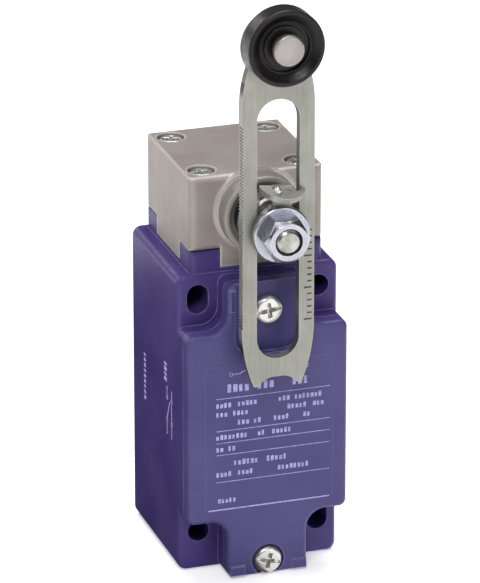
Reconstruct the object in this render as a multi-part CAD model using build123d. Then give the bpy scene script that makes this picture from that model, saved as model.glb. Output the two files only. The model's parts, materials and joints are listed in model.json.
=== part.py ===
"""Limit switch with a die-cast body, a rotary head and an adjustable roller lever.

Millimetres. X is to the right, Y goes into the wall, Z is up. The origin is the centre of the
four fixing holes on the mounting face (Y = 0); the switch stands out from it towards -Y.
Depths are distances in front of the mounting face, so depth 40 is Y = -40.
"""
from build123d import *
import math
import os

os.makedirs("parts", exist_ok=True)

# ---- Driving dimensions ---------------------------------------------------------------------
# Body
BODY_HALF_W = 20.0
BODY_BOTTOM = -40.0
SHOULDER = 36.0
LUG_DEPTH = 36.0
RIM_DEPTH = 40.0
COVER_DEPTH = 44.0
BACK_WALL = 3.0
BODY_CORNER_R = 2.2
FIX_X = 15.0
FIX_Z = 30.0
FIX_R = 2.65
FIX_SLOT_LEN = 7.3
FIX_ROUND_DEPTH = 8.0
ENTRY_R = 9.25
ENTRY_DEPTH = 18.0
CAVITY_HALF_W = 17.0
CAVITY_LOW = -24.5
CAVITY_HIGH = 23.0
CAVITY_TOP = 33.0

# Cover outline
MAIN_LOW = -25.0
MAIN_HIGH = 23.4
TAB_HALF_W = 10.0
TAB_HIGH = 35.4
NOTCH_R = 4.6
COVER_EDGE_R = 1.3
UPPER_SCREW_Z = 28.6
LOWER_SCREW_Z = -36.2
POCKET_HALF_W = 8.2
POCKET_LOW = 17.6
POCKET_FLOOR = 42.5

# Head
HEAD_HALF = 16.5
HEAD_BACK = 0.3
HEAD_FRONT = 35.0
HEAD_CENTRE = (HEAD_BACK + HEAD_FRONT) / 2
HEAD_DEEP_HALF = (HEAD_FRONT - HEAD_BACK) / 2
# Each side of the head as its turn about the centre and its distance from it
HEAD_SIDES = [(0, HEAD_DEEP_HALF), (90, HEAD_HALF), (180, HEAD_DEEP_HALF), (270, HEAD_HALF)]
PLUNGER_DEPTH = 18.5
HEAD_LOW = 41.5
HEAD_HIGH = 60.0
TAB_LOW = 37.1
KEY_HALF_W = 9.0
KEY_THICK = 3.3
HEAD_EDGE_R = 1.6
HEAD_SCREW_AT = 12.0
BOSS_R = 9.8
BOSS_DEPTH = 41.0
BOSS_BORE = 7.2
SEAL_DEPTH = 37.0

# Shaft and cam
SHAFT_Z = 51.0
JOURNAL_R = 5.0
RUN_CLEAR = 0.05
STUD_R = 3.0
STUD_END = 59.3
CAM_BASE = 5.6
CAM_RISE = 1.0
CAM_LEAD = math.radians(80)
CAM_GAP = 0.05

# Plunger and contacts
PLUNGER_R = 3.0
PLUNGER_LOW = 24.0
GUIDE_SEAT = 36.5
STEM_HALF = 2.5
BLOCK_BACK = 7.0
BLOCK_FRONT = 31.0
BLOCK_SCREW_X = 12.6
BLOCK_SCREW_Z = -12.0
UPPER_LEVEL = 13.6
LOWER_LEVEL = -1.6
UPPER_BRIDGE = 10.0
LOWER_BRIDGE = 2.0
TERMINALS = [(x, z) for x in (-9.7, 9.7) for z in (UPPER_LEVEL + 4.0, LOWER_LEVEL - 3.2)]
BLOCK_SCREWS = [(-BLOCK_SCREW_X, BLOCK_SCREW_Z), (BLOCK_SCREW_X, BLOCK_SCREW_Z)]

# Lever
LEVER_BACK = 48.55
LEVER_FRONT = 50.95
LEVER_HALF_W = 8.9
SLOT_HALF_W = 5.2
SLOT_LOW = 19.0
SLOT_HIGH = 83.5
KEY_LEN = 12.6
PLATE_BACK = 51.0
PLATE_FRONT = 52.4
NUT_BACK = 54.0
NUT_FRONT = 59.0
KEY_W = 10.2
WING_Z = 61.0
WING_TILT = 20.0
WING_THICK = 1.3
WING_REACH = 4.8
WING_HALF_W = 5.85
WING_SHIFT = 0.5
WING_ROLL = 9.0
WING_ARC_R = (WING_HALF_W ** 2 + WING_REACH ** 2) / (2 * WING_REACH)
NECK_W = 4.6
ROLLER_Z = 97.6
ROLLER_R = 9.25
ROLLER_BACK = 51.6
ROLLER_FRONT = 57.1
TOOTH_PITCH = 0.8
TOOTH_DEPTH = 0.4
TOOTH_LOW = 27.0
TOOTH_COUNT = 63


# ---- Building helpers -----------------------------------------------------------------------
def slab(face, depth0, depth1):
    """A front-view outline given thickness between two depths."""
    return extrude(Plane.XZ.offset(depth0) * face, depth1 - depth0)


def block(x0, x1, depth0, depth1, z0, z1):
    centre = Pos((x0 + x1) / 2, -(depth0 + depth1) / 2, (z0 + z1) / 2)
    return centre * Box(x1 - x0, depth1 - depth0, z1 - z0)


def rod(radius, depth0, depth1, x=0.0, z=0.0):
    """A cylinder along Y."""
    return Pos(x, -(depth0 + depth1) / 2, z) * Rot(90, 0, 0) * Cylinder(radius, depth1 - depth0)


def ring(outer, inner, depth0, depth1, x=0.0, z=0.0):
    return rod(outer, depth0, depth1, x, z) - rod(inner, depth0 - 1, depth1 + 1, x, z)


def post(radius, z0, z1, x=0.0, depth=0.0):
    """A cylinder along Z."""
    return Pos(x, -depth, (z0 + z1) / 2) * Cylinder(radius, z1 - z0)


def collar(outer, inner, z0, z1, x=0.0, depth=0.0):
    return post(outer, z0, z1, x, depth) - post(inner, z0 - 1, z1 + 1, x, depth)


def rounded(half_w, low, high, radius):
    return Pos(0, (low + high) / 2) * RectangleRounded(2 * half_w, high - low, radius)


def drive_recess(head_r, head_h):
    """Slot and tapered cross cut in a screw head, as a tool along Z whose top is at z = 0."""
    width = head_r * 0.32
    slot = Pos(0, 0, -head_h * 0.18) * Box(head_r * 1.72, width * 0.75, head_h * 0.36)
    cross_arms = Rectangle(head_r * 1.12, width) + Rectangle(width, head_r * 1.12)
    cross = extrude(cross_arms, -head_h * 0.72, taper=12)
    return slot + cross


def screw(head_r, head_h, shank_r, length):
    """A screw along -Z: the underside of its head is at z = 0."""
    head = post(head_r, 0, head_h)
    head = fillet(head.edges().sort_by(Axis.Z)[-1], head_h * 0.4)
    body = head + post(shank_r, -length, 0)
    return body - Pos(0, 0, head_h) * drive_recess(head_r, head_h)


def facing_front(part, x, depth, z, turn=0.0):
    """Turns a part built along Z so that it points at the viewer, with its base at a depth."""
    return Pos(x, -depth, z) * Rot(90, 0, 0) * Rot(0, 0, turn) * part


def coil(radius, wire, z0, z1, turns, depth):
    """A compression spring along Z with flattened ends."""
    pitch = (z1 - z0 - wire) / turns
    path = Helix(pitch, z1 - z0 - wire, radius)
    start = path @ 0
    profile = Plane(origin=start, z_dir=path % 0) * Circle(wire / 2)
    spring = sweep(profile, path)
    return Pos(0, -depth, z0 + wire / 2) * spring


def cover_outline(inset=0.0):
    """The notched front outline shared by the cover, its gasket and the body's rim."""
    w = BODY_HALF_W - inset
    t = TAB_HALF_W - inset
    low = MAIN_LOW + inset
    high = MAIN_HIGH - inset
    bottom = BODY_BOTTOM + inset
    top = TAB_HIGH - inset
    corners = [(-w, low), (-t, low), (-t, bottom), (t, bottom), (t, low), (w, low),
               (w, high), (t, high), (t, top), (-t, top), (-t, high), (-w, high)]
    face = make_face(Polyline(*corners, close=True))
    inner = [v for v in face.vertices() if abs(abs(v.X) - t) < 0.01 and low - 0.1 < v.Y < high + 0.1]
    face = fillet(inner, NOTCH_R + inset)
    outer = [v for v in face.vertices() if abs(abs(v.X) - w) < 0.01]
    face = fillet(outer, max(1.8 - inset, 0.5))
    ends = [v for v in face.vertices() if abs(v.Y - top) < 0.01 or abs(v.Y - bottom) < 0.01]
    return fillet(ends, max(1.8 - inset, 0.5))


# ---- Body -----------------------------------------------------------------------------------
def fixing_hole(x, z, elongated):
    hole = rod(FIX_R, -1, LUG_DEPTH + 5, x, z)
    if elongated:
        opening = SlotOverall(FIX_SLOT_LEN, 2 * FIX_R, rotation=90)
        hole += slab(Pos(x, z) * opening, FIX_ROUND_DEPTH, LUG_DEPTH + 5)
    return hole


def head_seat():
    """The square under the head: four corner posts with a gap for each of the head's tabs."""
    seat = slab(rounded(HEAD_HALF, SHOULDER - 3, HEAD_LOW, 0.4), HEAD_BACK, HEAD_FRONT)
    upright = seat.edges().filter_by(Axis.Z)
    seat = fillet(upright, HEAD_EDGE_R)
    gap = KEY_HALF_W + 0.15
    for turn, reach in HEAD_SIDES:
        cut = Pos(0, reach, (TAB_LOW - 0.1 + HEAD_LOW) / 2)
        cut *= Box(2 * gap, 2 * (KEY_THICK + 0.1), HEAD_LOW - TAB_LOW + 0.1)
        seat -= Pos(0, -HEAD_CENTRE, 0) * Rot(0, 0, turn) * cut
    return seat


def make_housing():
    lugs = slab(rounded(BODY_HALF_W, BODY_BOTTOM, SHOULDER, BODY_CORNER_R), 0, LUG_DEPTH)
    front_edges = lugs.faces().sort_by(Axis.Y)[0].edges()
    lugs = fillet(front_edges, 1.2)
    body = lugs + slab(cover_outline(), LUG_DEPTH - 4, RIM_DEPTH)
    body += head_seat()
    body -= block(-CAVITY_HALF_W, CAVITY_HALF_W, BACK_WALL, RIM_DEPTH + 1, CAVITY_LOW, CAVITY_HIGH)
    body -= block(-9.5, 9.5, BACK_WALL, 26, CAVITY_HIGH - 1, CAVITY_TOP)
    body -= post(5.0, CAVITY_TOP - 1, HEAD_LOW + 1, 0, PLUNGER_DEPTH)
    body -= post(8.5, GUIDE_SEAT - 1.5, HEAD_LOW + 1, 0, PLUNGER_DEPTH)
    body -= collar(11.0, 9.5, HEAD_LOW - 0.8, HEAD_LOW + 1, 0, PLUNGER_DEPTH)
    body -= post(ENTRY_R, BODY_BOTTOM - 1, CAVITY_LOW + 1, 0, ENTRY_DEPTH)
    mouth = Pos(0, -ENTRY_DEPTH, BODY_BOTTOM + 0.45) * Cone(ENTRY_R + 1.1, ENTRY_R, 1.1)
    body -= mouth
    for side in (-1, 1):
        body -= fixing_hole(side * FIX_X, FIX_Z, side < 0)
        body -= fixing_hole(side * FIX_X, -FIX_Z, side > 0)
        body += rod(3.0, BACK_WALL - 1, BLOCK_BACK, side * BLOCK_SCREW_X, BLOCK_SCREW_Z)
        body += rod(3.0, BACK_WALL - 1, BLOCK_BACK, side * BLOCK_SCREW_X, 14.0)
        body -= rod(1.5, 2.0, BLOCK_BACK + 1, side * BLOCK_SCREW_X, BLOCK_SCREW_Z)
        for front in (-1, 1):
            body -= post(1.6, SHOULDER, HEAD_LOW + 1, side * HEAD_SCREW_AT,
                         HEAD_CENTRE + front * HEAD_SCREW_AT)
    body += rod(3.5, BACK_WALL - 1, 7.0, -12.5, -19.5)
    body -= rod(1.7, 4.0, 8.0, -12.5, -19.5)
    for z in (UPPER_SCREW_Z, LOWER_SCREW_Z):
        body -= rod(2.0, 30.0, RIM_DEPTH + 1, 0, z)
    return body


def make_cover():
    cover = slab(cover_outline(), RIM_DEPTH, COVER_DEPTH)
    cover = fillet(cover.faces().sort_by(Axis.Y)[0].edges(), COVER_EDGE_R)
    cover -= slab(rounded(POCKET_HALF_W, POCKET_LOW, TAB_HIGH + 6, 4.5), POCKET_FLOOR, COVER_DEPTH + 1)
    for side in (-1, 1):
        pad = block(5.9, 9.6, COVER_DEPTH - 1, COVER_DEPTH + 0.5, -39.3, -36.9)
        cover += pad if side > 0 else mirror(pad, Plane.YZ)
    cover += block(-9.5, -8.2, COVER_DEPTH - 1.2, COVER_DEPTH + 0.4, 29.0, 34.4)
    cover -= slab(rounded(15.5, -21.0, 14.5, 2.0), RIM_DEPTH - 1, RIM_DEPTH + 1.8)
    cover -= slab(cover_outline(0.9) - cover_outline(1.7), RIM_DEPTH - 1, RIM_DEPTH + 0.8)
    cover -= rod(2.1, RIM_DEPTH - 1, COVER_DEPTH + 1, 0, UPPER_SCREW_Z)
    cover -= rod(2.1, RIM_DEPTH - 1, COVER_DEPTH + 1, 0, LOWER_SCREW_Z)
    cover -= rod(4.0, COVER_DEPTH - 1.5, COVER_DEPTH + 1, 0, LOWER_SCREW_Z)
    return cover


def make_cover_gasket():
    return slab(cover_outline(0.9) - cover_outline(1.7), RIM_DEPTH, RIM_DEPTH + 0.8)


def make_cover_screws():
    pan = screw(3.4, 2.3, 2.0, 11.0)
    upper = facing_front(pan, 0, POCKET_FLOOR, UPPER_SCREW_Z, 8)
    lower = facing_front(pan, 0, COVER_DEPTH - 1.5, LOWER_SCREW_Z, -14)
    return [upper, lower]


# ---- Operating head -------------------------------------------------------------------------
def make_head():
    half = HEAD_HALF
    shell = slab(rounded(half, HEAD_LOW, HEAD_HIGH, 0.3), HEAD_BACK, HEAD_FRONT)
    shell = fillet(shell.edges().filter_by(Axis.Z), HEAD_EDGE_R)
    for turn, reach in HEAD_SIDES:
        tab = Pos(0, reach - KEY_THICK / 2, (TAB_LOW + HEAD_LOW + 2) / 2)
        tab *= Box(2 * KEY_HALF_W, KEY_THICK, HEAD_LOW + 2 - TAB_LOW)
        shell += Pos(0, -HEAD_CENTRE, 0) * Rot(0, 0, turn) * tab
    boss = rod(BOSS_R, HEAD_FRONT - 2.5, BOSS_DEPTH, 0, SHAFT_Z)
    boss = fillet(boss.edges().sort_by(Axis.Y)[0], 0.7)
    shell += boss
    step = rod(BOSS_R + 0.7, HEAD_FRONT - 1, HEAD_FRONT + 0.8, 0, SHAFT_Z)
    shell += step & block(-half, half, HEAD_FRONT - 1, HEAD_FRONT + 2, HEAD_LOW, HEAD_HIGH)
    shell -= block(-8.5, 8.5, 8.0, 30.5, HEAD_LOW - 1, 58.4)
    shell -= block(-13.8, 13.8, 11.0, 26.0, HEAD_LOW - 1, 58.4)
    shell -= rod(3.05, 3.5, 9.0, 0, SHAFT_Z)
    shell -= rod(6.5, 29.5, BOSS_DEPTH + 1, 0, SHAFT_Z)
    shell -= rod(BOSS_BORE, SEAL_DEPTH, BOSS_DEPTH + 1, 0, SHAFT_Z)
    mouth = Cone(BOSS_BORE, BOSS_R - 0.9, 1.4)
    shell -= Pos(0, -BOSS_DEPTH + 0.65, SHAFT_Z) * Rot(90, 0, 0) * mouth
    for x in (-HEAD_SCREW_AT, HEAD_SCREW_AT):
        for depth in (HEAD_CENTRE - HEAD_SCREW_AT, HEAD_CENTRE + HEAD_SCREW_AT):
            shell -= post(1.6, HEAD_LOW - 1, HEAD_HIGH, x, depth)
            shell -= post(3.35, HEAD_HIGH - 2.2, HEAD_HIGH + 1, x, depth)
    return shell


def make_head_screws():
    screws = []
    turns = (12, -25, 40, -8)
    places = [(x, y) for x in (-HEAD_SCREW_AT, HEAD_SCREW_AT) for y in (-HEAD_SCREW_AT, HEAD_SCREW_AT)]
    for (x, y), turn in zip(places, turns):
        pan = screw(2.85, 1.9, 1.6, 21.0)
        screws.append(Pos(x, -HEAD_CENTRE + y, HEAD_HIGH - 2.2) * Rot(0, 0, turn) * pan)
    return screws


def make_shaft():
    shaft = rod(3.0, 3.8, 9.2, 0, SHAFT_Z)
    shaft += rod(4.0, 9.0, 28.0, 0, SHAFT_Z)
    shaft += rod(JOURNAL_R, 27.5, 46.0, 0, SHAFT_Z)
    stud = rod(STUD_R, 45.0, STUD_END, 0, SHAFT_Z)
    stud = chamfer(stud.edges().sort_by(Axis.Y)[0], 0.65)
    shaft += stud
    shaft -= ring(7.0, 4.2, 29.2, 30.2, 0, SHAFT_Z)
    return shaft


def make_seal():
    """A lip seal: an outer ring with a thinner lip that leans on the shaft."""
    seal = ring(BOSS_BORE, JOURNAL_R + 1.1, SEAL_DEPTH, SEAL_DEPTH + 2.4, 0, SHAFT_Z)
    return seal + ring(BOSS_BORE - 0.5, JOURNAL_R + RUN_CLEAR, SEAL_DEPTH, SEAL_DEPTH + 1.0, 0, SHAFT_Z)


def cam_reach(angle):
    """Distance from the shaft's axis to the cam's tangent line; linear over the working part."""
    if abs(angle) <= CAM_LEAD:
        return CAM_BASE + CAM_RISE * angle
    span = 2 * math.pi - 2 * CAM_LEAD
    along = (angle - CAM_LEAD if angle > 0 else angle + 2 * math.pi - CAM_LEAD) / span
    high = CAM_BASE + CAM_RISE * CAM_LEAD
    low = CAM_BASE - CAM_RISE * CAM_LEAD
    slope = CAM_RISE * span
    blend = 2 * along ** 3 - 3 * along ** 2
    return (high * (1 + blend) - low * blend
            + slope * (along ** 3 - 2 * along ** 2 + along) + slope * (along ** 3 - along ** 2))


def make_cam():
    points = []
    steps = 144
    for i in range(steps):
        angle = -math.pi + 2 * math.pi * i / steps
        reach = cam_reach(angle)
        slope = (cam_reach(angle + 1e-4) - cam_reach(angle - 1e-4)) / 2e-4
        if abs(abs(angle) - math.pi) < 1e-3:
            slope = (cam_reach(math.pi - 1e-4) - cam_reach(math.pi - 3e-4)) / 2e-4
        x = reach * math.sin(angle) + slope * math.cos(angle)
        z = -reach * math.cos(angle) + slope * math.sin(angle)
        points.append((x, SHAFT_Z + z))
    face = make_face(Polyline(*points, close=True))
    return slab(face, 13.5, 23.5) - rod(4.0, 12, 25, 0, SHAFT_Z)


# ---- Lever ----------------------------------------------------------------------------------
def make_lever():
    w = LEVER_HALF_W
    half = [
        ThreePointArc((0, 14.3), (3.0, 13.9), (4.6, 12.6)),
        ThreePointArc((4.6, 12.6), (5.5, 12.2), (6.2, 13.0)),
        ThreePointArc((6.2, 13.0), (7.9, 18.5), (w, 26.5)),
        Line((w, 26.5), (w, 80.5)),
        ThreePointArc((w, 80.5), (8.6, 86.0), (7.3, 91.5)),
        ThreePointArc((7.3, 91.5), (7.0, 101.2), (0, ROLLER_Z + 7.6)),
        Line((0, ROLLER_Z + 7.6), (0, 14.3)),
    ]
    right = make_face(half)
    face = right + mirror(right, Plane.YZ)
    face -= Pos(0, (SLOT_LOW + SLOT_HIGH) / 2) * SlotOverall(
        SLOT_HIGH - SLOT_LOW, 2 * SLOT_HALF_W, rotation=90)
    teeth = [(-w - 1, TOOTH_LOW)]
    for i in range(TOOTH_COUNT):
        z = TOOTH_LOW + i * TOOTH_PITCH
        teeth += [(-w, z), (-w + TOOTH_DEPTH, z + TOOTH_PITCH / 2)]
    end = TOOTH_LOW + TOOTH_COUNT * TOOTH_PITCH
    teeth += [(-w, end), (-w - 1, end)]
    face -= make_face(Polyline(*teeth, close=True))
    plate = slab(face, LEVER_BACK, LEVER_FRONT)
    return plate - rod(2.5, LEVER_BACK - 1, LEVER_FRONT + 1, 0, ROLLER_Z)


def make_hub():
    hub = rod(6.2, 41.5, 44.0, 0, SHAFT_Z) + rod(7.6, 43.5, 48.5, 0, SHAFT_Z)
    hub = chamfer(hub.edges().sort_by(Axis.Y)[0], 0.6)
    key = Pos(0, SHAFT_Z) * SlotOverall(KEY_LEN, KEY_W, rotation=90)
    hub += slab(key, 48.0, 50.9)
    hub -= rod(JOURNAL_R, 41.0, 46.0, 0, SHAFT_Z)
    return hub - rod(STUD_R, 45.0, 52.0, 0, SHAFT_Z)


def on_wing(shape):
    """Places a shape drawn on the wing's flat onto the bent, slightly rolled wing."""
    return Pos(WING_SHIFT, -PLATE_BACK, WING_Z) * Rot(0, WING_ROLL, 0) * Rot(WING_TILT, 0, 0) * shape


def make_clamp_plate():
    """A washer plate with a narrow neck, whose top is bent forward into a leaf-shaped wing."""
    neck = Pos(WING_SHIFT, SHAFT_Z + 5.8) * Rectangle(NECK_W, 11.6)
    flat = Pos(0, SHAFT_Z) * Circle(6.7) + neck
    plate = slab(flat, PLATE_BACK, PLATE_FRONT)
    outer = Pos(0, WING_ARC_R - WING_REACH) * Circle(WING_ARC_R)
    leaf = outer & Pos(0, -WING_REACH) * Rectangle(2 * WING_HALF_W, 2 * WING_REACH)
    wing = extrude(leaf, WING_THICK)
    wing = fillet(wing.edges().filter_by(Axis.Z), 0.5)
    wing -= extrude(Pos(2.9, 0.9) * Circle(2.4), 3 * WING_THICK, both=True)
    return plate + on_wing(wing) - rod(STUD_R, 50.0, 54.0, 0, SHAFT_Z)


def make_clamp_pin():
    pin = Cylinder(0.95, 1.3, align=(Align.CENTER, Align.CENTER, Align.MIN))
    pin = fillet(pin.edges().sort_by(Axis.Z)[-1], 0.85)
    return on_wing(Pos(-1.7, -2.3, WING_THICK) * pin)


def make_washer():
    washer = rod(6.9, PLATE_FRONT, NUT_BACK, 0, SHAFT_Z)
    washer = fillet(washer.edges().sort_by(Axis.Y)[0], 0.5)
    return washer - rod(STUD_R, 51, 55, 0, SHAFT_Z)


def make_nut():
    """A hexagon nut chamfered at the front, with a deep countersink round the stud."""
    flats = Pos(0, SHAFT_Z) * RegularPolygon(5.0, 6, major_radius=False)
    nut = slab(flats, NUT_BACK, NUT_FRONT)
    cone = Pos(0, -57.0, SHAFT_Z) * Rot(90, 0, 0) * Cone(7.9, 4.5, 4.0)
    base = Pos(0, -54.75, SHAFT_Z) * Rot(90, 0, 0) * Cylinder(7.9, 1.5)
    nut = nut & (cone + base)
    nut -= Pos(0, 0.6 - NUT_FRONT, SHAFT_Z) * Rot(90, 0, 0) * Cone(STUD_R, STUD_R + 0.35, 1.2)
    return nut - rod(STUD_R, NUT_BACK - 1, NUT_FRONT + 1, 0, SHAFT_Z)


def make_roller():
    roller = rod(ROLLER_R, ROLLER_BACK, ROLLER_FRONT, 0, ROLLER_Z)
    roller = fillet(roller.edges(), 0.5)
    dish = Cone(6.3, 8.3, 1.5)
    roller -= Pos(0, -ROLLER_FRONT + 0.7, ROLLER_Z) * Rot(90, 0, 0) * dish
    roller -= ring(6.0, 5.1, ROLLER_FRONT - 2.2, ROLLER_FRONT + 1, 0, ROLLER_Z)
    roller -= rod(5.1, ROLLER_FRONT - 1.0, ROLLER_FRONT + 1, 0, ROLLER_Z)
    return roller - rod(3.4 + RUN_CLEAR, ROLLER_BACK - 1, ROLLER_FRONT + 1, 0, ROLLER_Z)


def make_rivet():
    rivet = rod(2.5, LEVER_BACK - 0.5, ROLLER_FRONT + 0.5, 0, ROLLER_Z)
    head = rod(3.75, ROLLER_FRONT + 0.1, ROLLER_FRONT + 1.8, 0, ROLLER_Z)
    rivet += fillet(head.edges().sort_by(Axis.Y)[0], 0.6)
    back = rod(3.6, LEVER_BACK - 1.2, LEVER_BACK, 0, ROLLER_Z)
    return rivet + fillet(back.edges().sort_by(Axis.Y)[-1], 0.5)


# ---- Plunger and contact block --------------------------------------------------------------
def make_plunger():
    top = SHAFT_Z - CAM_BASE - CAM_GAP
    stem = post(PLUNGER_R, PLUNGER_LOW, top - 1, 0, PLUNGER_DEPTH)
    cap = post(5.2, top - 2.0, top, 0, PLUNGER_DEPTH)
    return stem + fillet(cap.edges().sort_by(Axis.Z)[-1], 0.5)


def make_guide():
    guide = post(8.3, GUIDE_SEAT - 1.5, GUIDE_SEAT, 0, PLUNGER_DEPTH)
    guide += post(5.0, 31.5, GUIDE_SEAT, 0, PLUNGER_DEPTH)
    return guide - post(PLUNGER_R + RUN_CLEAR, 30, GUIDE_SEAT + 1, 0, PLUNGER_DEPTH)


def contact_pair(z, outward):
    """Two fixed contacts with their terminal plates, on one level."""
    pieces = []
    plate_z = (z, z + 6.6) if outward > 0 else (z - 5.8, z + 0.8)
    for side in (-1, 1):
        arm = block(6.6, 12.0, 15.0, 22.0, z, z + 0.8)
        arm += block(8.0, 12.0, 21.0, 31.5, z, z + 0.8)
        arm += block(6.4, 13.0, 31.0, 31.8, *plate_z)
        button_z = (z - 0.5, z) if outward > 0 else (z + 0.8, z + 1.3)
        arm += post(1.3, *button_z, 8.4, PLUNGER_DEPTH)
        screw_z = z + 4.0 if outward > 0 else z - 3.2
        arm -= rod(1.6, 30, 33, 9.7, screw_z)
        pieces.append(arm if side > 0 else mirror(arm, Plane.YZ))
    return pieces


def contact_bridge(z, upward):
    strip = block(-9.9, 9.9, 16.2, 20.8, z, z + 0.8)
    for side in (-1, 1):
        button_z = (z + 0.8, z + 1.5) if upward else (z - 0.7, z)
        strip += post(1.3, *button_z, side * 8.4, PLUNGER_DEPTH)
    return strip


def make_block_base(contacts):
    base = block(-15, 15, BLOCK_BACK, BLOCK_FRONT, -14, 21.5)
    base = fillet(base.edges().filter_by(Axis.Y), 0.8)
    base -= block(-12.6, 12.6, 11, 32, -10, 17.5)
    base -= block(-STEM_HALF - 0.2, STEM_HALF + 0.2, PLUNGER_DEPTH - 2.7, PLUNGER_DEPTH + 2.7, 17, 22)
    base -= block(-13.6, 13.6, 28.8, 32, -10, 20.5)
    for x, z in BLOCK_SCREWS:
        base -= rod(1.5, 6, 32, x, z)
    for x, z in TERMINALS:
        base -= rod(1.6, 27, 32, x, z)
    for contact in contacts:
        base -= contact
    return base


def make_block_lid(contacts):
    lid = block(-13.5, 13.5, 28.8, BLOCK_FRONT, -9.9, 20.4)
    for x, z in TERMINALS:
        lid -= rod(1.6, 27, 32, x, z)
    for contact in contacts:
        lid -= contact
    return lid


def make_carriage(bridges):
    stem = block(-STEM_HALF, STEM_HALF, PLUNGER_DEPTH - 2.5, PLUNGER_DEPTH + 2.5, -3.5, PLUNGER_LOW - 0.05)
    stem += block(-3.6, 3.6, PLUNGER_DEPTH - 3.4, PLUNGER_DEPTH + 3.4, UPPER_BRIDGE - 5.5, UPPER_BRIDGE - 1.2)
    for bridge in bridges:
        stem -= bridge
    return stem


def make_terminal_clamps():
    clamps = []
    for x, z in TERMINALS:
        clamp = block(x - 3.1, x + 3.1, 31.8, 33.0, z - 2.3, z + 2.3)
        clamps.append(clamp - rod(1.6, 30, 34, x, z))
    return clamps


def make_terminal_screws():
    small = screw(2.6, 1.8, 1.6, 5.0)
    return [facing_front(small, x, 33.0, z, 20 * i) for i, (x, z) in enumerate(TERMINALS)]


def make_block_screws():
    long_screw = screw(1.9, 1.5, 1.5, 28.0)
    return [facing_front(long_screw, x, BLOCK_FRONT, z, 30) for x, z in BLOCK_SCREWS]


# ---- Assembly -------------------------------------------------------------------------------
upper_contacts = contact_pair(UPPER_LEVEL, 1)
lower_contacts = contact_pair(LOWER_LEVEL, -1)
fixed_contacts = upper_contacts + lower_contacts
bridges = [contact_bridge(UPPER_BRIDGE, True), contact_bridge(LOWER_BRIDGE, False)]
earth_plate = block(-16.0, -9.0, 7.0, 8.0, -23.0, -16.0) - rod(1.7, 6, 9, -12.5, -19.5)

nodes = {
    "housing": make_housing(),
    "front_cover": make_cover(),
    "cover_gasket": make_cover_gasket(),
    "cover_screws": make_cover_screws(),
    "head_casting": make_head(),
    "head_gasket": collar(11.0, 9.5, HEAD_LOW - 0.8, HEAD_LOW, 0, PLUNGER_DEPTH),
    "head_screws": make_head_screws(),
    "shaft_bush": ring(6.5, JOURNAL_R + RUN_CLEAR, 30.6, SEAL_DEPTH, 0, SHAFT_Z),
    "shaft_seal": make_seal(),
    "shaft": make_shaft(),
    "shaft_retaining_ring": ring(6.4, 4.2, 29.2, 30.2, 0, SHAFT_Z),
    "cam": make_cam(),
    "lever_hub": make_hub(),
    "lever_plate": make_lever(),
    "clamp_plate": make_clamp_plate(),
    "clamp_pin": make_clamp_pin(),
    "clamp_washer": make_washer(),
    "clamp_nut": make_nut(),
    "roller": make_roller(),
    "roller_bush": ring(3.4, 2.5, LEVER_FRONT + 0.6, ROLLER_FRONT + 0.1, 0, ROLLER_Z),
    "roller_washer": ring(4.6, 2.5, LEVER_FRONT, LEVER_FRONT + 0.6, 0, ROLLER_Z),
    "roller_rivet": make_rivet(),
    "plunger": make_plunger(),
    "plunger_guide": make_guide(),
    "plunger_seal": collar(4.6, PLUNGER_R + RUN_CLEAR, 30.3, 31.5, 0, PLUNGER_DEPTH),
    "return_spring": coil(4.2, 0.7, GUIDE_SEAT, SHAFT_Z - CAM_BASE - CAM_GAP - 2.0, 4, PLUNGER_DEPTH),
    "contact_block_base": make_block_base(fixed_contacts),
    "contact_block_lid": make_block_lid(fixed_contacts),
    "contact_block_screws": make_block_screws(),
    "contact_carriage": make_carriage(bridges),
    "contact_spring": coil(1.8, 0.5, -10.0, -3.5, 5, PLUNGER_DEPTH),
    "moving_contacts": bridges,
    "fixed_contacts": fixed_contacts,
    "terminal_clamps": make_terminal_clamps(),
    "terminal_screws": make_terminal_screws(),
    "earth_clamp": earth_plate,
    "earth_screw": facing_front(screw(3.0, 1.9, 1.7, 4.0), -12.5, 8.0, -19.5),
}

for name, shape in nodes.items():
    solids = shape if isinstance(shape, list) else [shape]
    children = [solid for item in solids for solid in item.solids()]
    piece = children[0] if len(children) == 1 else Compound(children=children)
    export_step(piece, f"parts/{name}.step")
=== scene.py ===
import json
import math

import bmesh
import bpy
from mathutils import Matrix, Vector


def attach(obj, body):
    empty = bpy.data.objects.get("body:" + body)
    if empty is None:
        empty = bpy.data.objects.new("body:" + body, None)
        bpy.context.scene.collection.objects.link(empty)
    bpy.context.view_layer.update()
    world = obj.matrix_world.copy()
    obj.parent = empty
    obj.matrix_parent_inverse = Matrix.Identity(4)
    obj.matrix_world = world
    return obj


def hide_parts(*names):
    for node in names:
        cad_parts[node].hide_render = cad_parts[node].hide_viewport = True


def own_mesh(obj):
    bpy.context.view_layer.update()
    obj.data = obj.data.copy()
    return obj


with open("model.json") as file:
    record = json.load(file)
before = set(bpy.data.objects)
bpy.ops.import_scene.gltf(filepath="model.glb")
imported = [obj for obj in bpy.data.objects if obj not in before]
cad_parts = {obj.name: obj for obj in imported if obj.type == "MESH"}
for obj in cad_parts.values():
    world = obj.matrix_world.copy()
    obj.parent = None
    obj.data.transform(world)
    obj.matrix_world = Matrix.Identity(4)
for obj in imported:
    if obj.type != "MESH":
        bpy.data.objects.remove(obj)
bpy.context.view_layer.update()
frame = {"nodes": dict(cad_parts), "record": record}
NODES = frame["nodes"]
MM = 0.001


# ---- Colours and material helpers -----------------------------------------------------------
NOISE_ROUGHNESS = 0.55
BEVEL_SAMPLES = 6
# The Mix node's sockets for colours.
MIX_FACTOR, MIX_A, MIX_B, MIX_RESULT = 0, 6, 7, 2


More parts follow.
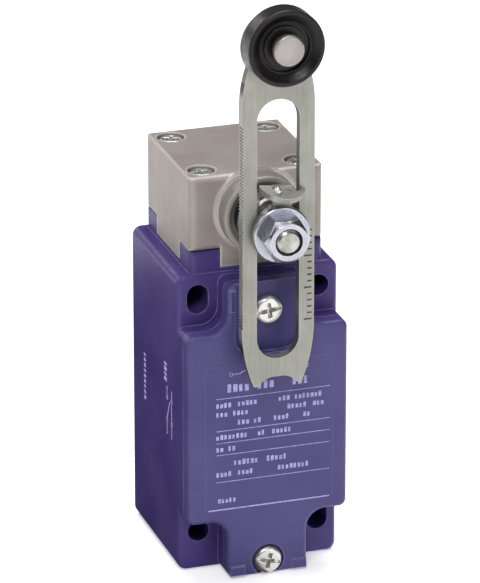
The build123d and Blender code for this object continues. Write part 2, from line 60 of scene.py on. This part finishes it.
def rgb(code):
    """A hex colour as linear RGBA."""
    values = [int(code[i:i + 2], 16) / 255 for i in (1, 3, 5)]
    linear = [v / 12.92 if v <= 0.04045 else ((v + 0.055) / 1.055) ** 2.4 for v in values]
    return (*linear, 1.0)


class Look:
    """A procedural material built round one Principled shader."""

    def __init__(self, name, **sockets):
        self.material = bpy.data.materials.new(name)
        self.material.use_nodes = True
        self.tree = self.material.node_tree
        self.shader = self.tree.nodes["Principled BSDF"]
        for key, value in sockets.items():
            self.shader.inputs[key.replace("_", " ")].default_value = value
        self.coords = self.tree.nodes.new("ShaderNodeTexCoord").outputs["Object"]

    def node(self, kind, **settings):
        made = self.tree.nodes.new(kind)
        for key, value in settings.items():
            setattr(made, key, value)
        return made

    def join(self, out, socket):
        self.tree.links.new(out, socket)

    def scaled(self, x, y, z):
        """Object coordinates stretched along the axes."""
        mapping = self.node("ShaderNodeMapping")
        mapping.inputs["Scale"].default_value = (x, y, z)
        self.join(self.coords, mapping.inputs["Vector"])
        return mapping.outputs["Vector"]

    def noise(self, scale, detail=4.0, vector=None, distortion=0.0):
        tex = self.node("ShaderNodeTexNoise")
        tex.inputs["Scale"].default_value = scale
        tex.inputs["Detail"].default_value = detail
        tex.inputs["Roughness"].default_value = NOISE_ROUGHNESS
        tex.inputs["Distortion"].default_value = distortion
        self.join(vector or self.coords, tex.inputs["Vector"])
        return tex.outputs["Fac"]

    def cells(self, scale):
        tex = self.node("ShaderNodeTexVoronoi", feature="F1")
        tex.inputs["Scale"].default_value = scale
        self.join(self.coords, tex.inputs["Vector"])
        return tex.outputs["Distance"]

    def ramp(self, fac, low, high):
        """Goes from one colour to another; low and high are each (factor, colour)."""
        ramp = self.node("ShaderNodeValToRGB")
        points = ramp.color_ramp.elements
        points[0].position, points[0].color = low
        points[1].position, points[1].color = high
        self.join(fac, ramp.inputs["Fac"])
        return ramp.outputs["Color"]

    def levels(self, fac, low, high, to_low=0.0, to_high=1.0):
        """Maps low..high onto to_low..to_high, and holds the ends."""
        scale = self.node("ShaderNodeMapRange")
        for key, value in zip(("From Min", "From Max", "To Min", "To Max"), (low, high, to_low, to_high)):
            scale.inputs[key].default_value = value
        self.join(fac, scale.inputs["Value"])
        return scale.outputs["Result"]

    def set_or_join(self, socket, value):
        if isinstance(value, (tuple, float)):
            socket.default_value = value
        else:
            self.join(value, socket)

    def math(self, operation, *values):
        step = self.node("ShaderNodeMath", operation=operation)
        for socket, value in zip(step.inputs, values):
            self.set_or_join(socket, value)
        return step.outputs["Value"]

    def blend(self, fac, a, b):
        """Colour a where fac is 0 and b where it is 1."""
        mix = self.node("ShaderNodeMix", data_type="RGBA", blend_type="MIX")
        for index, value in ((MIX_FACTOR, fac), (MIX_A, a), (MIX_B, b)):
            self.set_or_join(mix.inputs[index], value)
        return mix.outputs[MIX_RESULT]

    def axis(self, name, coords=None):
        """One coordinate, X, Y or Z, of the object coordinates or of another vector."""
        split = self.node("ShaderNodeSeparateXYZ")
        self.join(coords or self.coords, split.inputs["Vector"])
        return split.outputs[name]

    def rounded(self, radius):
        """The normals of the surface with its edges rounded to a radius."""
        bevel = self.node("ShaderNodeBevel", samples=BEVEL_SAMPLES)
        bevel.inputs["Radius"].default_value = radius
        return bevel.outputs["Normal"]

    def edges(self, radius, gain=4.0):
        """A mask that is 1 along convex and concave edges and 0 on flats."""
        dot = self.node("ShaderNodeVectorMath", operation="DOT_PRODUCT")
        self.join(self.rounded(radius), dot.inputs[0])
        self.join(self.node("ShaderNodeNewGeometry").outputs["Normal"], dot.inputs[1])
        return self.levels(dot.outputs["Value"], 1.0, 1.0 - 1.0 / gain)

    def colour(self, out):
        self.join(out, self.shader.inputs["Base Color"])

    def rough(self, out):
        self.join(out, self.shader.inputs["Roughness"])

    def bump(self, *layers, round_edges=0.0):
        """Each layer is (height, strength, distance in metres); edges are softened if asked."""
        normal = self.rounded(round_edges) if round_edges else None
        for height, strength, distance in layers:
            bump = self.node("ShaderNodeBump")
            bump.inputs["Strength"].default_value = strength
            bump.inputs["Distance"].default_value = distance
            self.join(height, bump.inputs["Height"])
            if normal:
                self.join(normal, bump.inputs["Normal"])
            normal = bump.outputs["Normal"]
        self.join(normal, self.shader.inputs["Normal"])


# ---- Materials ------------------------------------------------------------------------------
ROLLER_Z = 0.0976
RING_PITCH = 0.55 * MM
TREAD_START = (0.0088, 0.0093)
BOSS_START = -0.0362
TOOTH_ROW = (-0.0088, -0.0086)


def paint(name, light, deep, edge, gloss):
    """Slightly mottled stoved paint, paler along its edges: partly rubbed wear, partly a painted highlight.
    """
    look = Look(name, Specular_IOR_Level=gloss)
    mottle = look.noise(55, 3.0)
    base = look.ramp(mottle, (0.36, rgb(deep)), (0.64, rgb(light)))
    speck = look.levels(look.noise(4200, 2.0), 0.64, 0.76)
    base = look.blend(look.math("MULTIPLY", speck, 0.12), base, rgb(edge))
    patchy = look.levels(look.noise(420), 0.35, 0.6, 0.30, 0.85)
    # Paler edges, in patches: partly rubbed wear, partly a painted highlight where light catches the edges.
    edge_wear_and_highlight = look.math("MULTIPLY", look.edges(0.5 * MM, 5.0), patchy)
    look.colour(look.blend(edge_wear_and_highlight, base, rgb(edge)))
    look.rough(look.levels(look.noise(900, 5.0), 0.3, 0.7, 0.36, 0.50))
    look.bump((look.noise(620, 2.0), 0.22, 0.00010), (look.noise(3600, 2.0), 0.08, 0.00002),
              round_edges=0.0004)
    return look.material


def casting():
    """Warm grey die casting; the boss in front of the head is machined and a little darker."""
    look = Look("warm_grey_casting", Metallic=0.35, Specular_IOR_Level=0.25)
    cloud = look.ramp(look.noise(70, 4.0), (0.35, rgb("#8a817c")), (0.65, rgb("#98908b")))
    grain = look.levels(look.noise(3800, 3.0), 0.35, 0.7)
    base = look.blend(look.math("MULTIPLY", grain, 0.25), cloud, rgb("#b0a7a1"))
    machined = look.levels(look.axis("Y"), BOSS_START, BOSS_START - 0.2 * MM)
    base = look.blend(machined, base, rgb("#85827a"))
    # Pale cream edges: partly wear, mostly a painted highlight along the casting's rounded edges.
    edge_wear_and_highlight = look.math("MULTIPLY", look.edges(1.0 * MM, 10.0), 0.8)
    look.colour(look.blend(edge_wear_and_highlight, base, rgb("#d6cfca")))
    look.rough(look.levels(look.noise(1200, 4.0), 0.3, 0.7, 0.40, 0.54))
    look.bump((look.noise(1500, 3.0), 0.22, 0.00006), (look.noise(5200, 2.0), 0.2, 0.00002),
              round_edges=0.0004)
    return look.material


def painted_tooth_shade(look, tip, root):
    """A mask of painted shade on the left-facing flanks: full at the roots of the teeth, weaker on the
    other left-facing faces.
    """
    normal = look.node("ShaderNodeTexCoord").outputs["Normal"]
    flank = look.levels(look.axis("X", normal), -0.5, -0.7)
    row = look.levels(look.axis("X"), tip, root)
    elsewhere = look.levels(look.axis("X"), root + 0.3 * MM, root + 0.4 * MM, 1.0, 0.6)
    return look.math("MULTIPLY", flank, look.math("MULTIPLY", row, elsewhere))


# How far a plated surface's streaks are drawn out: not at all, along Z or along Y.
ALL_ROUND, ALONG_Z, ALONG_Y = (1, 1, 1), (1, 1, 0.04), (1, 0.1, 1)
# The near-black painted shade laid on the lever's left-facing flanks, darkest at the roots of the teeth.
TOOTH_ROOT_SHADE = "#1d1b20"


def plated(name, dark, light, rough_low, rough_high, edge, streak=ALL_ROUND, metal=0.9, relief=1.0,
           rounding=0.25 * MM, teeth=None):
    """Plated steel or brass, streaked by rolling, with paler edges; teeth is the X of a row of teeth's tips
    and roots, whose left-facing flanks get painted shade.
    """
    look = Look(name, Metallic=metal)
    lines = look.noise(2600, 3.0, vector=look.scaled(*streak))
    clouds = look.noise(110, 4.0, distortion=0.6)
    both = look.math("ADD", look.math("MULTIPLY", lines, 0.45), look.math("MULTIPLY", clouds, 0.55))
    base = look.ramp(both, (0.36, rgb(dark)), (0.64, rgb(light)))
    # Paler edges: partly wear, partly a painted highlight where light catches them.
    edge_wear_and_highlight = look.math("MULTIPLY", look.edges(0.3 * MM), 0.6)
    base = look.blend(edge_wear_and_highlight, base, rgb(edge))
    # Painted shade: left-facing flanks go dark at the roots of the teeth, and somewhat dark on the other
    # left-facing faces.
    if teeth:
        base = look.blend(painted_tooth_shade(look, *teeth), base, rgb(TOOTH_ROOT_SHADE))
    look.colour(base)
    look.rough(look.levels(lines, 0.3, 0.7, rough_low, rough_high))
    look.bump((lines, 0.18 * relief, 0.00002), (look.noise(900, 3.0), 0.10 * relief, 0.00003),
              round_edges=rounding)
    return look.material


def turned(name, dark, light, rough=0.3):
    """Lathe-turned metal: fine rings round the shaft's axis."""
    look = Look(name, Metallic=0.95)
    rings = look.noise(1800, 2.0, vector=look.scaled(0.15, 1, 0.15))
    look.colour(look.ramp(rings, (0.35, rgb(dark)), (0.68, rgb(light))))
    look.rough(look.levels(look.noise(700), 0.3, 0.7, rough - 0.06, rough + 0.1))
    look.bump((rings, 0.25, 0.00002), round_edges=0.0002)
    return look.material


def moulded(name, dark, light, rough=0.42, grain=2600):
    """Moulded plastic or rubber with a fine spark-eroded grain."""
    look = Look(name, Specular_IOR_Level=0.45)
    cloud = look.ramp(look.noise(160, 4.0), (0.35, rgb(dark)), (0.68, rgb(light)))
    # Paler grey edges: partly wear, partly a painted highlight.
    edge_wear_and_highlight = look.math("MULTIPLY", look.edges(0.3 * MM), 0.35)
    look.colour(look.blend(edge_wear_and_highlight, cloud, rgb("#6d6a6e")))
    look.rough(look.levels(look.noise(1100, 3.0), 0.3, 0.7, rough - 0.08, rough + 0.1))
    look.bump((look.cells(grain), 0.12, 0.00003), (look.noise(700), 0.1, 0.00004), round_edges=0.0003)
    return look.material


def roller_plastic():
    """Black nylon with fine turning rings round the roller's own axis and a dusty tread."""
    look = Look("roller_black_nylon", Specular_IOR_Level=0.32)
    high = look.math("SUBTRACT", look.axis("Z"), ROLLER_Z)
    squares = look.math("ADD", look.math("POWER", look.axis("X"), 2.0), look.math("MULTIPLY", high, high))
    reach = look.math("SQRT", squares)
    rings = look.math("SINE", look.math("MULTIPLY", reach, 2 * math.pi / RING_PITCH))
    dust = look.levels(look.noise(300, 5.0), 0.42, 0.72)
    tread = look.levels(reach, *TREAD_START)
    base = look.blend(look.math("MULTIPLY", dust, 0.35), rgb("#090708"), rgb("#151216"))
    base = look.blend(look.math("MULTIPLY", tread, 0.55), base, rgb("#2e2a2e"))
    look.colour(base)
    look.rough(look.levels(look.noise(900, 3.0), 0.3, 0.7, 0.30, 0.46))
    look.bump((rings, 0.25, 0.00002), (look.noise(2200, 3.0), 0.15, 0.00002), round_edges=0.0003)
    return look.material


def printed(name, colour, fade):
    """Screen-printed ink, slightly patchy."""
    look = Look(name, Specular_IOR_Level=0.3)
    wear = look.levels(look.noise(1400, 4.0), 0.38, 0.62)
    look.colour(look.blend(wear, rgb(fade), rgb(colour)))
    look.rough(look.levels(look.noise(2400), 0.3, 0.7, 0.45, 0.65))
    look.bump((look.noise(4200), 0.2, 0.00001))
    return look.material


LOOKS = {
    "indigo_paint": paint("indigo_paint", "#433672", "#392c69", "#8f8bb6", 0.30),
    "cover_paint": paint("cover_paint", "#484175", "#40396c", "#9a96c2", 0.30),
    "grey_casting": casting(),
    "lever_zinc": plated("lever_zinc", "#878881", "#9e9e97", 0.36, 0.50, "#cfcfca", ALONG_Z, 0.65,
                         rounding=0.06 * MM, teeth=TOOTH_ROW),
    "nut_zinc": plated("nut_zinc", "#9c9ca6", "#bcbcc6", 0.24, 0.36, "#f4f4f8", ALONG_Y, 1.0, 0.3),
    "bright_zinc": plated("bright_zinc", "#bdbcb7", "#e6e6e2", 0.26, 0.38, "#ffffff", relief=0.4),
    "rivet_steel": plated("rivet_steel", "#8b8483", "#a8a2a0", 0.32, 0.44, "#efeceb", ALL_ROUND, 0.8, 0.6),
    "turned_steel": turned("turned_steel", "#85857f", "#b9b9b4"),
    "bronze": turned("sintered_bronze", "#4b4131", "#6c5d46", 0.46),
    "contact_brass": plated("contact_brass", "#a98443", "#d6b46c", 0.25, 0.4, "#f0dca6", ALONG_Y, 1.0),
    "gasket_rubber": moulded("gasket_rubber", "#141416", "#232326", 0.7, 1800),
    "seal_rubber": moulded("seal_rubber", "#121113", "#1f1e20", 0.6, 1800),
    "block_plastic": moulded("block_plastic", "#1b1b1e", "#2a2a2e"),
    "lid_plastic": moulded("lid_plastic", "#b9b19a", "#cfc8b4"),
    "roller_plastic": roller_plastic(),
    "spring_steel": turned("spring_steel", "#77777a", "#a2a2a5", 0.28),
}
# A near-black steel, so that the thread in the ring between the stud's end and the nut reads as painted
# shade.
SHADED_THREAD_STEEL = turned("thread_steel_painted_shade", "#2f2f2d", "#4a4a47", 0.45)
INK = printed("lilac_ink", "#b0a8d6", "#8d84bb")
FRAME_INK = printed("faint_ink", "#5f5890", "#585087")
TICK_INK = printed("black_ink", "#2b2b2c", "#4a4a48")

for part in frame["record"]["subparts"]:
    mesh = NODES[part["node"]].data
    mesh.materials.clear()
    mesh.materials.append(LOOKS[part["material_slot"]])


# ---- Geometry helpers -----------------------------------------------------------------------
def linked(name, data):
    """A new object in the scene."""
    obj = bpy.data.objects.new(name, data)
    bpy.context.scene.collection.objects.link(obj)
    return obj


def piece(name, build, body, look):
    """A piece that moves with a body; build fills its mesh."""
    bm = bmesh.new()
    build(bm)
    bmesh.ops.recalc_face_normals(bm, faces=bm.faces)
    mesh = bpy.data.meshes.new(name)
    bm.to_mesh(mesh)
    bm.free()
    obj = linked(name, mesh)
    mesh.materials.append(look)
    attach(obj, body)


def add_block(bm, centre, size, turn, axis):
    """A block turned about its centre; all lengths are in metres."""
    matrix = Matrix.Translation(centre) @ Matrix.Rotation(turn, 4, axis) @ Matrix.Diagonal((*size, 1))
    bmesh.ops.create_cube(bm, size=1.0, matrix=matrix)


def front_bar(bm, face, x, z, wide, tall, turn=0.0):
    """A printed bar, in millimetres, on a flat face that looks forward."""
    add_block(bm, (x * MM, face, z * MM), (wide * MM, INK_DEEP, tall * MM), turn, "Y")


def side_bar(bm, depth, z, wide, tall, turn=0.0):
    """A printed bar, in millimetres, on the body's left side."""
    add_block(bm, (SIDE_FACE, -depth * MM, z * MM), (INK_DEEP, wide * MM, tall * MM), turn, "X")


def ring_steps(radius):
    """(angle, across, up) of the short bars that make a small ring."""
    for k in range(RING_BARS):
        angle = 2 * math.pi * k / RING_BARS
        yield angle, radius * math.cos(angle), radius * math.sin(angle)


# ---- Printed marks: rules, plain blocks and contact diagrams, no lettering ------------------
# Apart from the faces and the ink's thickness, these are in millimetres.
COVER_FACE, SIDE_FACE, LEVER_FACE = -0.044, -0.020, -0.05095
INK_DEEP = 0.00012
RING_BARS = 12
# Each rule: its height on the panel, its ends and its thickness.
RULES = [(7.2, -13.0, 15.5, 0.16), (-1.1, -13.0, 15.5, 0.16), (-4.2, -13.0, 15.5, 0.16),
         (-7.3, -13.0, 15.5, 0.16), (-14.3, -13.0, 15.5, 0.16), (-21.5, -15.0, 15.5, 0.32)]
# Each row: height on the panel, block height, then the runs of blocks as (start, count).
ROWS = [(9.7, 2.1, [(-10.2, 4), (-2.6, 3), (6.0, 3)]),
        (5.5, 1.25, [(-13.0, 4), (-7.6, 5), (2.6, 3), (6.6, 7)]),
        (3.2, 1.25, [(-13.0, 3), (-8.8, 4), (4.8, 5), (11.2, 3)]),
        (0.7, 1.25, [(-7.6, 3), (-3.6, 2), (1.4, 4), (8.8, 2)]),
        (-2.7, 1.25, [(-13.0, 8), (-2.6, 2), (1.0, 5)]),
        (-5.8, 1.25, [(-13.0, 2), (-10.0, 2)]),
        (-9.6, 1.35, [(-8.6, 6), (-0.4, 5)]),
        (-12.3, 1.25, [(-13.0, 4), (-7.6, 4), (2.4, 8)]),
        (-19.2, 1.15, [(-12.6, 5)])]
USUAL_BLOCK = 1.25
# The contact diagram on the panel: its height, its bars as (x, z, length, turn) and its rings' x.
DIAGRAM_Z, DIAGRAM_LINE = 13.2, 0.25
DIAGRAM_BARS = [(-7.9, 13.2, 2.2, 0.0), (-3.7, 13.2, 2.2, 0.0), (-5.9, 13.8, 2.3, -0.42),
                (4.0, 13.2, 2.2, 0.0), (8.2, 13.2, 2.2, 0.0), (6.1, 12.75, 2.4, 0.16)]
DIAGRAM_RINGS, DIAGRAM_RING_R = (-9.3, -2.3, 2.6, 9.6), 0.42
FRAME_X, FRAME_TOP, FRAME_LINE = (-15.8, 16.2), 15.5, 0.14
FRAME_MIDDLE, FRAME_TALL, FRAME_WIDE = (0.2, -3.0), 37.0, 32.0
SIDE_LINE, SIDE_RING_R, SIDE_RING_BAR = 0.34, 0.5, 0.30
TICKS, TICK_LOW, TICK_PITCH, TICK_END = 15, 28.0, 1.6, 8.3
LONG_TICK, SHORT_TICK, TICK_LINE = 1.9, 1.1, 0.34


def build_rules(bm):
    for z, x0, x1, thick in RULES:
        front_bar(bm, COVER_FACE, (x0 + x1) / 2, z, x1 - x0, thick)


def build_blocks(bm):
    """Rows of blocks whose widths and heights vary in a fixed order."""
    step = 0
    for z, high, runs in ROWS:
        pitch = (high / USUAL_BLOCK) ** 0.7
        for start, count in runs:
            for i in range(count):
                step += 1
                wide = pitch * (0.52 + 0.2 * ((step * 7) % 5) / 4)
                tall = high * (0.78 + 0.22 * ((step * 3) % 4) / 3)
                front_bar(bm, COVER_FACE, start + i * pitch + wide / 2, z - (high - tall) / 2, wide, tall)


def build_contact_symbol(bm):
    """A plain diagram of two contacts, one open and one closed."""
    for x, z, long, turn in DIAGRAM_BARS:
        front_bar(bm, COVER_FACE, x, z, long, DIAGRAM_LINE, turn)
    for x in DIAGRAM_RINGS:
        for angle, across, up in ring_steps(DIAGRAM_RING_R):
            front_bar(bm, COVER_FACE, x + across, DIAGRAM_Z + up, 0.26, 0.16, -angle - math.pi / 2)


def build_panel_frame(bm):
    """The panel's outline: two sides and a top."""
    for x in FRAME_X:
        front_bar(bm, COVER_FACE, x, FRAME_MIDDLE[1], FRAME_LINE, FRAME_TALL)
    front_bar(bm, COVER_FACE, FRAME_MIDDLE[0], FRAME_TOP, FRAME_WIDE, FRAME_LINE)


def build_side_marks(bm):
    """Two narrow columns on the left side: small blocks, and blocks over a plain contact diagram."""
    for i in range(9):
        side_bar(bm, 9.5, 6.2 - 1.4 * i, 1.5, 0.6 + 0.3 * (i % 3) / 2)
    for i in range(4):
        side_bar(bm, 26.2, 10.4 - 1.3 * i, 2.1, 0.6 + 0.3 * (i % 2))
    for depth in (27.4, 31.0):
        side_bar(bm, depth, 3.9, SIDE_LINE, 2.4)
        side_bar(bm, depth, -5.8, SIDE_LINE, 3.2)
        for z in (2.2, -3.7):
            for angle, across, up in ring_steps(SIDE_RING_R):
                side_bar(bm, depth + across, z + up, SIDE_RING_BAR, SIDE_RING_BAR, angle)
    side_bar(bm, 28.5, -0.7, SIDE_LINE, 5.2, 0.42)
    side_bar(bm, 31.0, -0.7, SIDE_LINE, 4.9)


def build_lever_ticks(bm):
    """A plain graduated scale down the lever's right bar."""
    for i in range(TICKS):
        long = LONG_TICK if i % 5 == 0 else SHORT_TICK
        front_bar(bm, LEVER_FACE, TICK_END - long / 2, TICK_LOW + TICK_PITCH * i, long, TICK_LINE)


piece("side_marks", build_side_marks, "switch", INK)
piece("panel_rules", build_rules, "switch", INK)
piece("panel_blocks", build_blocks, "switch", INK)
piece("panel_contact_symbol", build_contact_symbol, "switch", INK)
piece("panel_frame", build_panel_frame, "switch", FRAME_INK)
piece("lever_scale", build_lever_ticks, "lever", TICK_INK)


# ---- Threads --------------------------------------------------------------------------------
# The section's half width as a share of the pitch, and the share of a turn over which an end fades.
FLANK = 0.42
FADE = 1 / 3


def thread(spot, radius, crest, pitch, length, steps):
    """A mesh builder for a helical ridge of triangular section that fades in and out at its ends.

    crest is the ridge's height, below 0 in a hole. spot turns the distances across, up and along
    the thread's axis into a point.
    """
    def build(bm):
        count = int(length / pitch * steps)
        fading = steps * FADE
        foot = radius - crest / 4
        rows = []
        for i in range(count + 1):
            angle = 2 * math.pi * i / steps
            tip = radius + crest * min(1.0, i / fading, (count - i) / fading)
            along = pitch * i / steps
            section = ((along - pitch * FLANK, foot), (along, tip), (along + pitch * FLANK, foot))
            rows.append([bm.verts.new(spot(r * math.cos(angle), r * math.sin(angle), place))
                         for place, r in section])
        for a, b in zip(rows, rows[1:]):
            for k in range(3):
                bm.faces.new((a[k], a[(k + 1) % 3], b[(k + 1) % 3], b[k]))
        bm.faces.new(rows[0])
        bm.faces.new(rows[-1])
    return build


STUD_START, SHAFT_Z = -0.0580, 0.051
ENTRY_Y, ENTRY_START = -0.018, -0.0382


def on_stud(across, up, along):
    return across, STUD_START - along, SHAFT_Z + up


def in_entry(across, up, along):
    return across, ENTRY_Y + up, ENTRY_START + along


# The stud's thread is coloured near-black as painted shade in the gap round the stud's end.
piece("stud_thread", thread(on_stud, 0.00296, 0.00022, 0.0008, 0.0009, 48), "shaft",
      SHADED_THREAD_STEEL)
piece("entry_thread", thread(in_entry, 0.00925, -0.0005, 0.0015, 0.0115, 64), "switch",
      LOOKS["indigo_paint"])


def coil_spring(node):
    """A copy of the CAD spring with a mesh of its own, carried by the switch in place of the hidden CAD
    part.
    """
    obj = linked(node + "_coils", NODES[node].data.copy())
    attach(obj, "switch")
    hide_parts(node)
    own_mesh(obj)


coil_spring("return_spring")
coil_spring("contact_spring")


# ---- Floor, light and camera ----------------------------------------------------------------
WORLD_FRONT, WORLD_BACK, WORLD_TOP = 0.24, 0.60, 0.36
# Each light: its place, the size of its panel and its power; all face the middle of the switch.
LIGHTS = {"key": ((-0.75, -1.80, 2.30), (1.10, 1.10), 48.0),
          "front": ((1.20, -2.40, 0.90), (1.20, 1.50), 16.0),
          "top": ((0.40, 0.60, 2.60), (1.80, 1.30), 66.0),
          "side": ((-0.15, -0.02, 0.15), (0.05, 0.10), 0.095),
          "rim": ((-0.90, 2.00, 0.80), (1.20, 0.50), 8.0)}
LIGHT_TARGET = (0, -0.03, 0.03)
# The surroundings' strength changes between these values of a direction's Y, minus and plus.
WORLD_REACH = 0.7
FLOOR_Z, FLOOR_REACH = -0.0401, 6.0
FLOOR_GLOW = 0.34
# The flag lies just above the floor beside the switch, and stands up behind it.
FLAG_LIFT = 0.0002
FLAG_LEFT, FLAG_RIGHT = -0.200, 0.000
FLAG_FRONT, FLAG_BACK, FLAG_TOP = -0.055, 0.060, 0.004


def floor():
    mesh = bpy.data.meshes.new("floor")
    corners = [(x * FLOOR_REACH, y * FLOOR_REACH, FLOOR_Z) for x, y in ((-1, -1), (1, -1), (1, 1), (-1, 1))]
    mesh.from_pydata(corners, [], [(0, 1, 2, 3)])
    obj = linked("floor", mesh)
    look = Look("pale_floor", Emission_Color=(1, 1, 1, 1), Emission_Strength=FLOOR_GLOW)
    look.colour(look.ramp(look.noise(6, 3.0), (0.3, rgb("#f3f2f1")), (0.7, rgb("#f8f8f7"))))
    look.rough(look.levels(look.noise(40), 0.3, 0.7, 0.55, 0.7))
    mesh.materials.append(look.material)


def aimed(name, data, place, direction):
    """A light or camera at a place, looking along a direction."""
    obj = linked(name, data)
    obj.location = place
    obj.rotation_mode = "QUATERNION"
    obj.rotation_quaternion = direction.to_track_quat("-Z", "Y")
    return obj


def area_light(name, place, size, power):
    data = bpy.data.lights.new(name, "AREA")
    data.shape = "RECTANGLE"
    data.size, data.size_y = size
    data.energy = power
    obj = aimed(name, data, place, Vector(LIGHT_TARGET) - Vector(place))
    obj.visible_camera = False


def reflection_flag():
    """A bent dark card on the switch's left, which only its glossy reflections see."""
    mesh = bpy.data.meshes.new("reflection_flag")
    foot = FLOOR_Z + FLAG_LIFT
    profile = ((FLAG_FRONT, foot), (FLAG_BACK, foot), (FLAG_BACK, FLAG_TOP))
    corners = [(x, y, z) for y, z in profile for x in (FLAG_LEFT, FLAG_RIGHT)]
    mesh.from_pydata(corners, [], [(0, 1, 3, 2), (2, 3, 5, 4)])
    obj = linked("reflection_flag", mesh)
    look = Look("flag_cloth", Specular_IOR_Level=0.0)
    look.colour(look.ramp(look.noise(300, 2.0), (0.3, rgb("#17161c")), (0.7, rgb("#201f26"))))
    mesh.materials.append(look.material)
    obj.visible_camera = False
    obj.visible_diffuse = False
    obj.visible_shadow = False


def studio():
    """Pale surroundings, brighter above and behind the switch than on the viewer's side."""
    world = bpy.data.worlds.new("studio")
    world.use_nodes = True
    tree = world.node_tree
    background = tree.nodes["Background"]
    coords = tree.nodes.new("ShaderNodeTexCoord")
    split = tree.nodes.new("ShaderNodeSeparateXYZ")
    tree.links.new(coords.outputs["Generated"], split.inputs["Vector"])
    depth = tree.nodes.new("ShaderNodeMapRange")
    height = tree.nodes.new("ShaderNodeMapRange")
    for node, source, values in ((depth, "Y", (-WORLD_REACH, WORLD_REACH, WORLD_FRONT, WORLD_BACK)),
                                 (height, "Z", (0.0, 1.0, 0.0, WORLD_TOP))):
        for key, value in zip(("From Min", "From Max", "To Min", "To Max"), values):
            node.inputs[key].default_value = value
        tree.links.new(split.outputs[source], node.inputs["Value"])
    total = tree.nodes.new("ShaderNodeMath")
    tree.links.new(depth.outputs["Result"], total.inputs[0])
    tree.links.new(height.outputs["Result"], total.inputs[1])
    tree.links.new(total.outputs["Value"], background.inputs["Strength"])
    bpy.context.scene.world = world
    for name, (place, size, watts) in LIGHTS.items():
        area_light(name, place, size, watts)
    bpy.context.scene.view_settings.view_transform = "Standard"


CAMERA_AZIMUTH, CAMERA_ELEVATION = -18.19, 21.75
CAMERA_TARGET, CAMERA_RIGHT, CAMERA_UP = (0, -0.020, 0.020), 0.00076, 0.00379
CAMERA_DISTANCE, CAMERA_LENS = 1.1755, 301.5


def camera():
    azimuth, elevation = math.radians(CAMERA_AZIMUTH), math.radians(CAMERA_ELEVATION)
    back = Vector((math.sin(azimuth) * math.cos(elevation), -math.cos(azimuth) * math.cos(elevation),
                   math.sin(elevation)))
    right = Vector((math.cos(azimuth), math.sin(azimuth), 0))
    up = back.cross(right)
    target = Vector(CAMERA_TARGET) + right * CAMERA_RIGHT + up * CAMERA_UP
    data = bpy.data.cameras.new("camera")
    data.sensor_width = 36.0
    data.lens = CAMERA_LENS
    data.clip_start, data.clip_end = 0.05, 50
    bpy.context.scene.camera = aimed("camera", data, target + back * CAMERA_DISTANCE, -back)


floor()
reflection_flag()
studio()
camera()
